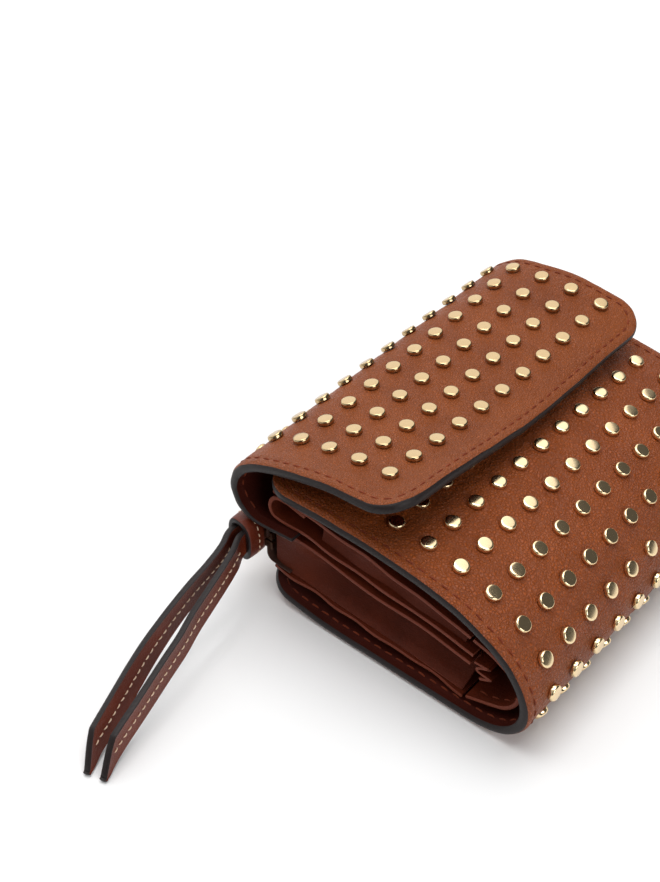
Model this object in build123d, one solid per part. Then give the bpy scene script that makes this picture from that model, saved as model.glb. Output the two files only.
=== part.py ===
"""Studded leather flap wallet with a wrist strap on its zip pocket.

Frame: X runs along the fold lines, -Y is the front fold, +Y the rear, +Z is up.
The origin lies on the underside of the back panel, on which the wallet rests. Millimetres.
"""

import os
from math import cos, radians, sin

from build123d import *

# ---- driving dimensions -------------------------------------------------------------------
WIDTH = 109.0  # length of every panel along the folds
LEATHER = 1.1  # outer leather
BOARD = 0.5  # stiffener board between leather and lining
LINING = 0.7
PLY_GAP = 0.05  # glue line between two plies
SHELL = LEATHER + BOARD + LINING + 2 * PLY_GAP  # whole thickness at a painted edge
LEAF = 1.0  # single leather leaf inside
THIN_LEAF = 0.7  # skived leather of card pockets and pleats
CORNER = 9.0  # corner radius of the flap and the panels, seen from above
BOARD_INSET = 4.0  # boards stop short of the painted edges

STUD_PITCH = 9.0
STUDS_PER_ROW = 11
STUD_RADIUS = 2.0
STUD_HEIGHT = 1.25
STUD_BEVEL = 0.35
SHANK_RADIUS = 0.6
SHANK_LENGTH = 0.9  # stays inside the outer leather
HEAD_LIFT = 0.06  # the head stands this far off the leather
FLAP_STUD_SHIFT = 2.5  # the flap's grid sits slightly further along X
FLAP_FIRST_ROW = 11.5  # from the flap's front edge to its first row, along the leather
FLAP_ROWS = 4  # rows on the flat of the flap; the next lies on its shoulder, one more on the spine
PANEL_FIRST_ROW = 34.3  # from the front panel's free edge to its first row
PANEL_ROWS = 6  # rows on the front panel; one more on each side of the front fold's cut

# The outer surfaces, as (y, z). Each path keeps the wallet's inside on its left.
FLAP_FRONT_Y = -6.0
FLAP_PATH = [
    (24.0, 22.9),
    (33.0, 22.2),
    (38.2, 22.4),
    (42.2, 24.8),
    (44.1, 29.8),
    (43.9, 34.5),
    (42.2, 38.4),
    (39.2, 41.4),
    (32.5, 44.2),
    (23.5, 45.6),
    (14.5, 46.0),
    (5.5, 45.7),
    (FLAP_FRONT_Y, 44.6),
]
PANEL_REAR_Y = 34.6
SHELL_PATH = [
    (PANEL_REAR_Y, 36.6),
    (27.0, 37.1),
    (18.0, 37.3),
    (9.0, 37.2),
    (0.0, 36.8),
    (-8.5, 36.0),
    (-17.3, 34.6),
    (-26.0, 32.2),
    (-34.0, 28.2),
    (-40.0, 22.8),
    (-43.3, 16.8),
    (-43.9, 11.5),
    (-42.2, 6.5),
    (-38.0, 2.6),
    (-32.0, 0.6),
    (-25.0, 0.0),
]
FLAT_END_Y = 12.0  # the underside is flat from the end of SHELL_PATH to here
REAR_RISE = [(FLAT_END_Y, 0.0), (20.0, 0.7), (28.0, 2.1), (PANEL_REAR_Y, 3.8)]

# Hinge lines: both run along X, just outside the leather that bends.
FLAP_AXIS = (46.5, 35.0)
PANEL_AXIS = (-45.2, 12.0)
CUT_ANGLE = 4.0  # half of the wedge left open where a bending leather is parted

# The middle block.
CARD_LEAF_PATH = [(31.8, 33.5), (18.5, 31.9), (0.5, 29.2), (-17.5, 26.0), (-26.0, 24.4)]
FOLD_LINING_PATH = [
    (-27.0, 24.1),
    (-33.6, 21.9),
    (-37.8, 19.0),
    (-39.6, 15.3),
    (-39.4, 11.4),
    (-37.0, 8.1),
    (-32.5, 5.7),
    (-26.6, 4.5),
]
NOTE_WALL_PATH = [
    (-27.0, 18.6),
    (-17.5, 19.8),
    (0.0, 21.8),
    (18.0, 23.8),
    (28.0, 24.8),
    (32.2, 26.0),
    (33.4, 28.6),
    (32.2, 31.2),
    (28.6, 32.0),
    (22.0, 31.2),
]
ROOF_PATH = [(28.5, 22.1), (24.0, 21.8), (9.5, 20.2), (-8.5, 18.3), (-26.5, 16.4)]
FLOOR_PATH = [(32.0, 8.9), (27.5, 8.5), (9.5, 7.2), (-8.5, 6.1), (-25.2, 4.4)]
PLEAT_CHAIN = [(-28.9, 17.4), (-32.7, 15.9), (-29.3, 14.4), (-32.7, 12.9), (-29.7, 11.4)]
PLEAT_ACROSS = 1.7  # along Y, which gives the slanted folds about 0.6 mm of leather
BLOCK_HALF = 52.0  # half of the middle block's length along X
PLEAT_LENGTH = 6.0

CARD_POCKETS = 3
CARD_POCKET_DEPTH = 34.0
CARD_POCKET_STEP = 6.0
CARD_POCKET_FRONT_Y = -24.0
CARD_POCKET_HALF = 48.0

# Zip.
CHAIN_Y = 34.2
CHAIN_Z = 15.8
TOOTH_DEPTH = 2.2  # across the tape's faces
TOOTH_HEIGHT = 2.3
TOOTH_WIDTH = 1.3
TOOTH_PITCH = 2.0
CHAIN_SLOT = 0.6  # left between the two rows, for the slider's web
CHAIN_START = -50.0
CHAIN_END = 50.0
TAPE = 0.5
TAPE_EDGE = 1.4  # the tape's edge lies this far from the chain's middle
STOP_WIDTH = 1.3
SLIDER_START = -48.6
SLIDER_LENGTH = 10.5
SLIDER_HALF_HEIGHT = 4.2
SLIDER_PLATE = 1.2
SLIDER_INNER = 1.4  # from the chain's middle plane to either plate
FLANGE = 1.3
FLANGE_REACH = 0.8
WEB = 0.3
WEB_LENGTH = 1.6
BAIL_WIRE = 1.2
BAIL_LENGTH = 5.4

# Pull: a wire ring, and a leather strap hitched to it. The bight is the band over both tails.
PULL_PIVOT = (-46.0, 38.6)
RING_WIRE = 1.6
RING_REACH = 6.2
RING_TURN = 12.0  # the ring points this far off -X, towards +Y
STRAP_WIDTH = 6.2
STRAP_THICKNESS = 1.9
STRAP_Z = 15.6
BIGHT_X = (-57.0, -51.9)
BIGHT_Y = (35.7, 44.2)
BIGHT_Z = (9.5, 21.6)
BIGHT_THICKNESS = 1.2
TIP_LENGTH = 5.6
# Middle line of each tail: (x, y, z), and the lean of its top edge towards +Y, in degrees.
REAR_TAIL = [
    (-52.2, 41.8, 15.6, 0.0),
    (-57.3, 41.4, 15.6, 4.0),
    (-62.0, 39.5, 15.0, 8.0),
    (-68.0, 38.6, 14.0, 4.0),
    (-74.0, 38.1, 12.9, 4.0),
    (-80.0, 37.3, 11.7, 6.0),
    (-86.0, 36.3, 10.3, 10.0),
    (-92.0, 35.1, 8.8, 16.0),
    (-98.0, 33.5, 7.4, 20.0),
    (-104.0, 31.7, 6.1, 21.0),
    (-110.0, 29.9, 5.0, 19.0),
    (-115.0, 28.4, 4.1, 14.0),
]
FRONT_TAIL = [
    (-52.2, 38.0, 15.6, 0.0),
    (-57.6, 38.25, 15.6, 1.0),
    (-62.0, 35.2, 15.0, 3.0),
    (-68.0, 33.5, 14.1, 3.0),
    (-74.0, 32.2, 13.0, 3.0),
    (-80.0, 31.2, 11.6, 4.0),
    (-86.0, 29.9, 10.3, 4.0),
    (-92.0, 28.6, 9.0, 4.0),
    (-98.0, 27.2, 7.8, 4.0),
    (-104.0, 25.8, 6.6, 3.0),
    (-110.0, 24.5, 5.4, 3.0),
    (-114.5, 23.4, 4.3, 3.0),
]

# Magnetic snap between flap and front panel.
SNAP_Y = 12.0
SNAP_RADIUS = 7.0
SOCKET_HEIGHT = 2.6
SOCKET_BORE = 2.7
PUCK_HEIGHT = 1.8
NUB_RADIUS = 2.0
SNAP_CLEARANCE = 0.4
PUCK_LIFT = 0.4  # from the flap's lining down to the puck
SOCKET_LIFT = 0.12  # from the front panel's leather up to the socket
SOCKET_FLOOR = 0.8

SAMPLES = 30


def spline(points, **ends):
    """Smooth edge in the YZ plane at the wallet's near end."""
    return Spline(*[Vector(-WIDTH / 2, y, z) for y, z in points], **ends)


def inward(edge, u):
    """Unit vector from the path into the wallet, at parameter u."""
    tangent = edge % u
    return Vector(0, -tangent.Z, tangent.Y).normalized()


def offset_run(edge, distance, start=0.0, end=1.0):
    """The stretch start..end of edge, moved inward by distance, as one edge."""
    if edge.geom_type == GeomType.LINE:
        return Line(*[(edge @ u) + inward(edge, u) * distance for u in (start, end)])
    steps = [start + (end - start) * k / SAMPLES for k in range(SAMPLES + 1)]
    points = [(edge @ u) + inward(edge, u) * distance for u in steps]
    return Spline(*points)


def band(runs, outer, inner, half=WIDTH / 2):
    """A bent sheet: the stretches in runs, from depth outer to depth inner, 2 * half long.

    Each run is (edge, start, end), and each begins where the one before it ends.
    """
    outside = [offset_run(edge, outer, start, end) for edge, start, end in runs]
    inside = [offset_run(edge, inner, start, end) for edge, start, end in runs]
    first = Line(outside[0] @ 0, inside[0] @ 0)
    last = Line(outside[-1] @ 1, inside[-1] @ 1)
    face = make_face([*outside, last, *inside, first])
    return Pos(WIDTH / 2 - half, 0, 0) * extrude(face, amount=2 * half, dir=(1, 0, 0))


def plan_limit(y_low, y_high, half, rounded_low, rounded_high, corner):
    """Upright block that trims a sheet to its outline seen from above."""
    block = Box(2 * half, y_high - y_low, 90, align=(Align.CENTER, Align.MIN, Align.CENTER))
    upright = block.edges().filter_by(Axis.Z).group_by(Axis.Y)
    picked = []
    if rounded_low:
        picked += upright[0]
    if rounded_high:
        picked += upright[-1]
    return Pos(0, y_low, 20) * fillet(picked, corner)


def parameter_where(edge, test):
    """The first parameter at which test(point) holds, found by halving."""
    high = next(k / 200 for k in range(201) if test(edge @ (k / 200)))
    low = max(0.0, high - 1 / 200)
    for _ in range(30):
        middle = (low + high) / 2
        if test(edge @ middle):
            high = middle
        else:
            low = middle
    return high


def parting_wedge(axis, degrees, keep_above):
    """Half-space block that ends on a ray from a hinge line, CUT_ANGLE / 2 off its direction."""
    y, z = axis
    block = Box(WIDTH + 2, 200, 200, align=(Align.CENTER, Align.CENTER, Align.MIN))
    turn = degrees if keep_above else degrees + 180
    return Pos(0, y, z) * Rot(turn, 0, 0) * block


def stud():
    """Flat-topped stud with a bevelled rim and a short shank, standing on the XY plane."""
    head = Pos(0, 0, HEAD_LIFT) * Cylinder(
        STUD_RADIUS, STUD_HEIGHT, align=(Align.CENTER, Align.CENTER, Align.MIN)
    )
    head = chamfer(head.edges().group_by(Axis.Z)[-1], STUD_BEVEL)
    shank = Cylinder(SHANK_RADIUS, SHANK_LENGTH, align=(Align.CENTER, Align.CENTER, Align.MAX))
    neck = Cylinder(SHANK_RADIUS, HEAD_LIFT, align=(Align.CENTER, Align.CENTER, Align.MIN))
    return (head + neck + shank).solids()[0]


def stud_rows(edge, distances, shift):
    """A row of studs at each distance along edge, standing out of the wallet."""
    one = stud()
    placed = []
    for distance in distances:
        origin = edge.position_at(distance, position_mode=PositionMode.LENGTH)
        tangent = edge.tangent_at(distance, position_mode=PositionMode.LENGTH)
        out = Vector(0, tangent.Z, -tangent.Y)
        for k in range(STUDS_PER_ROW):
            x = (k - (STUDS_PER_ROW - 1) / 2) * STUD_PITCH + shift
            plane = Plane(origin=(x, origin.Y, origin.Z), x_dir=(1, 0, 0), z_dir=out)
            placed.append(plane.location * one)
    return Compound(placed)


def write(name, shape):
    os.makedirs("parts", exist_ok=True)
    export_step(shape, f"parts/{name}.step")


# ---- flap and the spine it bends from -----------------------------------------------------
def make_flap():
    path = spline(FLAP_PATH)
    whole = [(path, 0.0, 1.0)]
    lined_from = parameter_where(path, lambda p: p.Y > 36.0)
    board_from = parameter_where(path, lambda p: p.Z > 40.0)
    lined = [(path, lined_from, 1.0)]
    boarded = [(path, board_from, 1.0)]
    outline = plan_limit(FLAP_FRONT_Y - 1, 60, WIDTH / 2, True, False, CORNER)
    inset = WIDTH / 2 - BOARD_INSET
    board_outline = plan_limit(
        FLAP_FRONT_Y + BOARD_INSET, 60, inset, True, False, CORNER - BOARD_INSET
    )
    moving = parting_wedge(FLAP_AXIS, -CUT_ANGLE / 2, True)
    fixed = parting_wedge(FLAP_AXIS, CUT_ANGLE / 2, False)

    leather = band(whole, 0, LEATHER) & outline
    lining = band(lined, SHELL - LINING, SHELL) & outline
    board = band(boarded, LEATHER + PLY_GAP, LEATHER + PLY_GAP + BOARD) & board_outline
    write("flap_leather", leather & moving)
    write("flap_spine_leather", leather & fixed)
    write("flap_lining", lining & moving)
    write("flap_spine_lining", lining & fixed)
    write("flap_board", board)

    length = path.length
    rows = [length - FLAP_FIRST_ROW - k * STUD_PITCH for k in range(FLAP_ROWS + 2)]
    write("flap_studs", stud_rows(path, rows[:FLAP_ROWS], FLAP_STUD_SHIFT))
    write("shoulder_studs", stud_rows(path, rows[FLAP_ROWS : FLAP_ROWS + 1], FLAP_STUD_SHIFT))
    write("spine_studs", stud_rows(path, rows[FLAP_ROWS + 1 :], FLAP_STUD_SHIFT))


# ---- front panel, front fold and back panel -----------------------------------------------
def make_shell():
    level = Vector(0, 1, 0)
    fold = spline(SHELL_PATH, tangents=[Vector(0, -1, 0.08), level])
    flat = Line((-WIDTH / 2, *SHELL_PATH[-1]), (-WIDTH / 2, *REAR_RISE[0]))
    rise = spline(REAR_RISE, tangents=[level, Vector(0, 1, 0.28)])
    whole = [(fold, 0.0, 1.0), (flat, 0.0, 1.0), (rise, 0.0, 1.0)]
    outline = plan_limit(-60, PANEL_REAR_Y, WIDTH / 2, False, True, CORNER)
    moving = parting_wedge(PANEL_AXIS, CUT_ANGLE / 2, True)
    fixed = parting_wedge(PANEL_AXIS, -CUT_ANGLE / 2, False)
    leather = band(whole, 0, LEATHER) & outline
    lining = band(whole, SHELL - LINING, SHELL) & outline
    write("front_panel_leather", leather & moving)
    write("back_panel_leather", leather & fixed)
    write("front_panel_lining", lining & moving)
    write("back_panel_lining", lining & fixed)

    depth = (LEATHER + PLY_GAP, LEATHER + PLY_GAP + BOARD)
    inset = WIDTH / 2 - BOARD_INSET
    rear = PANEL_REAR_Y - BOARD_INSET
    board_outline = plan_limit(-60, rear, inset, False, True, CORNER - BOARD_INSET)
    front_end = parameter_where(fold, lambda p: p.Y < -30.0)
    back_runs = [(flat, 0.0, 1.0), (rise, 0.0, 1.0)]
    write("front_panel_board", band([(fold, 0.0, front_end)], *depth) & board_outline)
    write("back_panel_board", band(back_runs, *depth) & board_outline)

    rows = [PANEL_FIRST_ROW + k * STUD_PITCH for k in range(PANEL_ROWS + 2)]
    write("front_panel_studs", stud_rows(fold, rows[:PANEL_ROWS], 0))
    write("fold_studs_upper", stud_rows(fold, rows[PANEL_ROWS : PANEL_ROWS + 1], 0))
    write("fold_studs_lower", stud_rows(fold, rows[PANEL_ROWS + 1 :], 0))


# ---- middle block: card leaf, note pocket, coin pocket ------------------------------------
def gusset(y_low, y_high, top, bottom, side):
    """V-folded end wall between two slanted leaves; top and bottom give z at a y."""
    faces = []
    for y in (y_low, y_high):
        high = top(y)
        low = bottom(y)
        middle = (high + low) / 2
        edge_x = side * (BLOCK_HALF - 0.5)
        fold_x = side * (BLOCK_HALF - 8.0)
        across = side * THIN_LEAF * 1.4
        outline = [
            (edge_x, y, high),
            (fold_x, y, middle),
            (edge_x, y, low),
            (edge_x - across, y, low),
            (fold_x - across, y, middle),
            (edge_x - across, y, high),
        ]
        faces.append(make_face(Polyline(*outline, close=True)))
    return loft(faces, ruled=True)


def straight_between(first, second):
    """The height along the line through two (y, z) points, as a function of y."""
    slope = (second[1] - first[1]) / (second[0] - first[0])
    return lambda y: first[1] + (y - first[0]) * slope


def make_block():
    card_leaf = spline(CARD_LEAF_PATH)
    fold_lining = spline(FOLD_LINING_PATH)
    note_wall = spline(NOTE_WALL_PATH)
    roof = spline(ROOF_PATH)
    floor = spline(FLOOR_PATH)
    write("card_leaf", band([(card_leaf, 0, 1)], 0, LEAF, BLOCK_HALF))
    write("fold_lining", band([(fold_lining, 0, 1)], 0, LEAF, BLOCK_HALF))
    write("note_pocket_wall", band([(note_wall, 0, 1)], 0, LEAF, BLOCK_HALF))
    write("coin_pocket_roof", band([(roof, 0, 1)], 0, LEAF, BLOCK_HALF))
    write("coin_pocket_floor", band([(floor, 0, 1)], 0, LEAF, BLOCK_HALF))
    outline = PLEAT_CHAIN + [(y + PLEAT_ACROSS, z) for y, z in PLEAT_CHAIN[::-1]]
    pleat = make_face(Polyline(*[(-PLEAT_LENGTH / 2, y, z) for y, z in outline], close=True))
    pleat_strip = extrude(pleat, amount=PLEAT_LENGTH, dir=(1, 0, 0))

    for k in range(CARD_POCKETS):
        front = CARD_POCKET_FRONT_Y + k * CARD_POCKET_STEP
        rear = front + CARD_POCKET_DEPTH - k * CARD_POCKET_STEP
        start = parameter_where(card_leaf, lambda p: p.Y < rear)
        end = parameter_where(card_leaf, lambda p: p.Y < front)
        lift = PLY_GAP + k * (THIN_LEAF + PLY_GAP)
        runs = [(card_leaf, start, end)]
        pocket = band(runs, -lift - THIN_LEAF, -lift, CARD_POCKET_HALF)
        write(f"card_pocket_{k + 1}", pocket)

    leaf_under = [(y, z - LEAF - 0.3) for y, z in CARD_LEAF_PATH]
    wall_over = [(y, z + LEAF + 0.3) for y, z in NOTE_WALL_PATH[:4]]
    note_end = [leaf_under[4], *leaf_under[3:0:-1], *wall_over[::-1][:4]]
    note_end = [(min(y, 18.5), z) for y, z in note_end]
    note_face = make_face(Polyline(*[(0, y, z) for y, z in note_end], close=True))
    note_gusset = extrude(note_face, amount=THIN_LEAF, dir=(1, 0, 0))

    roof_under = straight_between((ROOF_PATH[1][0], ROOF_PATH[1][1] - LEAF - 0.5), (-26.5, 14.9))
    floor_over = straight_between((27.5, 9.0), (-25.2, 4.95))
    for side, name in ((-1, "near"), (1, "far")):
        write(f"gusset_pleat_{name}", Pos(side * (BLOCK_HALF - PLEAT_LENGTH / 2), 0, 0) * pleat_strip)
        x = -BLOCK_HALF + 0.6 if side < 0 else BLOCK_HALF - 0.6 - THIN_LEAF
        write(f"note_gusset_{name}", Pos(x, 0, 0) * note_gusset)
        write(f"coin_gusset_{name}", gusset(-24.5, 26.5, roof_under, floor_over, side))


# ---- zip ----------------------------------------------------------------------------------
def clasp(width, depth, groove):
    """One tooth: a block standing on the XY plane, its upper half parted for the tape's edge."""
    middle = (Align.CENTER, Align.CENTER, Align.MIN)
    block = Box(width, depth, TOOTH_HEIGHT, align=middle)
    block = fillet(block.edges().filter_by(Axis.X), 0.3)
    slot = Box(width + 1, groove, TOOTH_HEIGHT, align=middle)
    return (block - Pos(0, 0, TAPE_EDGE - CHAIN_SLOT / 2 - 0.15) * slot).solids()[0]


def make_zip():
    upper = [
        (CHAIN_Y, CHAIN_Z + TAPE_EDGE),
        (CHAIN_Y, CHAIN_Z + 3.0),
        (CHAIN_Y, CHAIN_Z + 4.2),
        (33.3, 20.6),
        (31.5, 20.7),
        (27.0, 20.5),
    ]
    lower = [
        (27.0, 9.4),
        (31.6, 9.8),
        (33.4, 10.2),
        (CHAIN_Y, CHAIN_Z - 4.2),
        (CHAIN_Y, CHAIN_Z - 3.0),
        (CHAIN_Y, CHAIN_Z - TAPE_EDGE),
    ]
    for name, points in (("zip_tape_upper", upper), ("zip_tape_lower", lower)):
        write(name, band([(spline(points), 0, 1)], -TAPE / 2, TAPE / 2, BLOCK_HALF))

    count = int((CHAIN_END - CHAIN_START) / TOOTH_PITCH)
    groove = TAPE + 0.5
    tooth = clasp(TOOTH_WIDTH, TOOTH_DEPTH, groove)
    stop = clasp(STOP_WIDTH, TOOTH_DEPTH + 0.4, groove)
    stops = []
    for name, side in (("zip_teeth_upper", 1), ("zip_teeth_lower", -1)):
        z = CHAIN_Z + side * CHAIN_SLOT / 2
        turn = 0 if side > 0 else 180
        first = CHAIN_START + TOOTH_PITCH * (0.5 if side > 0 else 1.0)
        row = [
            Pos(first + k * TOOTH_PITCH, CHAIN_Y, z) * Rot(turn, 0, 0) * tooth
            for k in range(count - 1)
        ]
        write(name, Compound(row))
        for x in (CHAIN_START - 0.9, CHAIN_END + 0.4):
            stops.append(Pos(x, CHAIN_Y, z) * Rot(turn, 0, 0) * stop)
    write("zip_stops", Compound(stops))


def make_slider():
    middle_x = SLIDER_START + SLIDER_LENGTH / 2
    body = Part()
    for side in (-1, 1):
        y = side * (SLIDER_INNER + SLIDER_PLATE / 2)
        plate = Pos(0, y, 0) * Box(SLIDER_LENGTH, SLIDER_PLATE, 2 * SLIDER_HALF_HEIGHT)
        body += fillet(plate.edges().filter_by(Axis.Y), 1.6)
        for end in (-1, 1):
            z = end * (SLIDER_HALF_HEIGHT - FLANGE / 2)
            lip = Box(SLIDER_LENGTH - 3.4, FLANGE_REACH, FLANGE)
            body += Pos(0, side * (SLIDER_INNER - FLANGE_REACH / 2), z) * lip
    body += Pos(-SLIDER_LENGTH / 2 + 1.4, 0, 0) * Box(WEB_LENGTH, 2 * SLIDER_INNER + 0.2, WEB)
    place = Pos(middle_x, CHAIN_Y, CHAIN_Z)
    write("zip_slider", place * body)

    face_y = CHAIN_Y + SLIDER_INNER + SLIDER_PLATE
    rise = PULL_PIVOT[1] + RING_WIRE / 2 + 0.2 + BAIL_WIRE - face_y
    arch = Box(BAIL_LENGTH, rise, BAIL_WIRE * 1.6, align=(Align.CENTER, Align.MIN, Align.CENTER))
    arch = fillet(arch.edges().filter_by(Axis.Z).group_by(Axis.Y)[-1], 1.6)
    inner = BAIL_LENGTH - 2 * BAIL_WIRE
    hole = Box(inner, rise - BAIL_WIRE, 9, align=(Align.CENTER, Align.MIN, Align.CENTER))
    write("slider_bail", Pos(PULL_PIVOT[0] + 0.6, face_y + 0.02, CHAIN_Z) * (arch - hole))


# ---- pull: ring and hitched strap ---------------------------------------------------------
def make_pull():
    half = STRAP_WIDTH / 2 + 0.4 + RING_WIRE / 2
    corners = [
        Vector(0, 0, half),
        Vector(-RING_REACH, 0, half),
        Vector(-RING_REACH, 0, -half),
        Vector(0, 0, -half),
    ]
    loop = FilletPolyline(*corners, radius=1.4, close=True)
    start = Plane(origin=loop @ 0, z_dir=loop % 0)
    ring = sweep(start * Circle(RING_WIRE / 2), path=loop)
    ring = Pos(*PULL_PIVOT, STRAP_Z) * Rot(0, 0, -RING_TURN) * ring
    write("pull_ring", ring)

    turn = radians(RING_TURN)
    bar_x = PULL_PIVOT[0] - RING_REACH * cos(turn)
    bar_y = PULL_PIVOT[1] + RING_REACH * sin(turn)
    gap = RING_WIRE / 2 + 0.15
    outer = Circle(gap + STRAP_THICKNESS) - Circle(gap)
    behind = Rectangle(20, 20, align=(Align.MAX, Align.CENTER))
    hairpin = outer - behind
    root = Pos(bar_x, bar_y, STRAP_Z) * extrude(hairpin, amount=STRAP_WIDTH / 2, both=True)
    write("strap_root", root)

    size = [high - low for low, high in (BIGHT_X, BIGHT_Y, BIGHT_Z)]
    centre = [(low + high) / 2 for low, high in (BIGHT_X, BIGHT_Y, BIGHT_Z)]
    outside = fillet(Box(*size).edges().filter_by(Axis.X), 3.2)
    hollow = Box(size[0] + 1, size[1] - 2 * BIGHT_THICKNESS, size[2] - 2 * BIGHT_THICKNESS)
    hollow = fillet(hollow.edges().filter_by(Axis.X), 3.2 - BIGHT_THICKNESS)
    write("strap_bight", Pos(*centre) * (outside - hollow))

    write("strap_tail_rear", tail(REAR_TAIL))
    write("strap_tail_front", tail(FRONT_TAIL))


def tail(stations):
    """A strap end: rectangular sections along its middle line, then a slanted tip."""
    sections = []
    for k, (x, y, z, lean) in enumerate(stations):
        before = stations[max(k - 1, 0)]
        after = stations[min(k + 1, len(stations) - 1)]
        along = Vector(*after[:3]) - Vector(*before[:3])
        up = Vector(0, sin(radians(lean)), cos(radians(lean)))
        plane = Plane(origin=(x, y, z), x_dir=up.cross(along.normalized()), z_dir=along)
        sections.append(plane * Rectangle(STRAP_THICKNESS, STRAP_WIDTH))
    end = Vector(*stations[-1][:3])
    along = (end - Vector(*stations[-2][:3])).normalized()
    floor_point = end + along * TIP_LENGTH
    low = Vector(floor_point.X, floor_point.Y, 0.55)
    plane = Plane(origin=low, x_dir=Vector(0, 0, 1).cross(along), z_dir=along)
    sections.append(plane * Rectangle(STRAP_THICKNESS, 1.0))
    return loft(sections, ruled=True)


# ---- magnetic snap ------------------------------------------------------------------------
def height_at(points, y):
    """Height of a path over y, on its upper side."""
    edge = spline(points)
    u = parameter_where(edge, lambda p: p.Z > 35 and p.Y < y)
    return (edge @ u).Z


def make_snap():
    panel_top = height_at(SHELL_PATH, SNAP_Y)
    flap_under = height_at(FLAP_PATH, SNAP_Y) - SHELL
    middle = (Align.CENTER, Align.CENTER, Align.MIN)
    socket = Cylinder(SNAP_RADIUS, SOCKET_HEIGHT, align=middle)
    socket = chamfer(socket.edges().group_by(Axis.Z)[-1], 0.5)
    socket -= Pos(0, 0, SOCKET_FLOOR) * Cylinder(SOCKET_BORE, SOCKET_HEIGHT, align=middle)
    write("snap_socket", Pos(0, SNAP_Y, panel_top + SOCKET_LIFT) * socket)

    hanging = (Align.CENTER, Align.CENTER, Align.MAX)
    top = flap_under - PUCK_LIFT
    puck = Cylinder(SNAP_RADIUS, PUCK_HEIGHT, align=hanging)
    nub_length = top - (panel_top + SOCKET_LIFT + SOCKET_FLOOR) - SNAP_CLEARANCE
    puck += Cylinder(NUB_RADIUS, nub_length, align=hanging)
    write("snap_puck", Pos(0, SNAP_Y, top) * puck)


make_flap()
make_shell()
make_block()
make_zip()
make_slider()
make_pull()
make_snap()
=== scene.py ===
"""Studded leather flap wallet with a strap hitched to its zip pull, lying on a pale studio floor.

Shapes are worked out in millimetres in the part's own frame: +X is the far end, -Y the front fold, +Y the
rear fold, and z = 0 the surface that the wallet lies on. Meshes are written in metres.
"""

import math

import bpy
import numpy as np
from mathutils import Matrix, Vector


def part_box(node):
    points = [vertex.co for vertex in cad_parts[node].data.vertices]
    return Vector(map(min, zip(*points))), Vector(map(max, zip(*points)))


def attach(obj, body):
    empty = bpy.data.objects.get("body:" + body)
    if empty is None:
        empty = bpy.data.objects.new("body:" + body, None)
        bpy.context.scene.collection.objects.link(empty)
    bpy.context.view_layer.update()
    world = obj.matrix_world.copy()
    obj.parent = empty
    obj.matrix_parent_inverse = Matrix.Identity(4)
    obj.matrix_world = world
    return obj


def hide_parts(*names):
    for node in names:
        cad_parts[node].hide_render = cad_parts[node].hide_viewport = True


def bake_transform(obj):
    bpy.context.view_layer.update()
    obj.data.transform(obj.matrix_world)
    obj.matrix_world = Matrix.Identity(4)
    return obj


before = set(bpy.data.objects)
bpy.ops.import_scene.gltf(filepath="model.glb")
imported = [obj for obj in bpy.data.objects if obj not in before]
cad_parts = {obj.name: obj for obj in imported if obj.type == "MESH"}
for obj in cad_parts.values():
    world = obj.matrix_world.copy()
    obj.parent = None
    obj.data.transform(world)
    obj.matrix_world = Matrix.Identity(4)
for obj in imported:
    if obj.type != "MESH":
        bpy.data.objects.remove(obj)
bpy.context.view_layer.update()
rng = np.random.default_rng(7)


# ---- sizes, in millimetres ------------------------------------------------------------------
MM = 0.001  # metres in a millimetre
SKIN = 2.4  # leather, board and lining together, at a painted edge
SKIVED = 1.15  # leather alone, where the flap's tail is tucked in
CORNER = 9.0  # corner radius of the flap and the panels
EDGE_ROOM = 0.35  # left free beyond a skin's outline for its rounded edge
SEAM_INSET = 2.3  # from a painted edge to its stitches
STUD_PITCH = 9.0
STUD_COUNT = 11  # in a row
FLAP_SHIFT = 2.5  # the flap's stud grid stands this far towards +X
FLAP_EDGE_TO_STUDS = 11.3  # along the flap, from its front edge to its first row
PANEL_EDGE_TO_STUDS = 34.3  # along the shell, from the front panel's rear edge to its first row
LEAF_THICK = 1.0  # leaves and walls of the pockets
POCKET_THICK = 0.65  # fronts of the card pockets
STRAP_WIDTH, STRAP_THICK, TAIL_THICK = 6.2, 1.9, 1.6
STRAP_Z = 15.6  # middle of the strap where it is hitched to the ring


def box_mm(name):
    """Lower and upper corner of a CAD node's box."""
    low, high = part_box(name)
    return np.array(low) / MM, np.array(high) / MM


# ---- curves and surfaces --------------------------------------------------------------------
def run_length(line):
    """Distance from the start of a line to each of its points."""
    return np.concatenate([[0], np.cumsum(np.linalg.norm(np.diff(line, axis=0), axis=1))])


def points_at(line, run, want):
    """Points of a line at the values want, where run holds the value at each of its own points."""
    return np.stack([np.interp(want, run, line[:, k]) for k in range(line.shape[1])], -1)


def resample(line, count):
    """The same line with count points at even steps of length."""
    run = run_length(line)
    return points_at(line, run, np.linspace(0, run[-1], count))


def smooth(points, count=600):
    """Centripetal Catmull-Rom curve through points, at even steps of length."""
    p = np.array(points, float)
    p = np.vstack([2 * p[0] - p[1], p, 2 * p[-1] - p[-2]])
    t = np.linspace(0, 1, 40, endpoint=False)[:, None]
    pieces = []
    for a, b, c, d in zip(p[:-3], p[1:-2], p[2:-1], p[3:]):
        ab, bc, cd = (max(np.linalg.norm(q), 1e-9) ** 0.5 for q in (b - a, c - b, d - c))
        leaving = (c - b) + bc * ((b - a) / ab - (c - a) / (ab + bc))
        arriving = (c - b) + bc * ((d - c) / cd - (d - b) / (bc + cd))
        pieces.append(
            (2 * t**3 - 3 * t**2 + 1) * b
            + (t**3 - 2 * t**2 + t) * leaving
            + (-2 * t**3 + 3 * t**2) * c
            + (t**3 - t**2) * arriving
        )
    pieces.append(p[-2][None])
    return resample(np.vstack(pieces), count)


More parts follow.
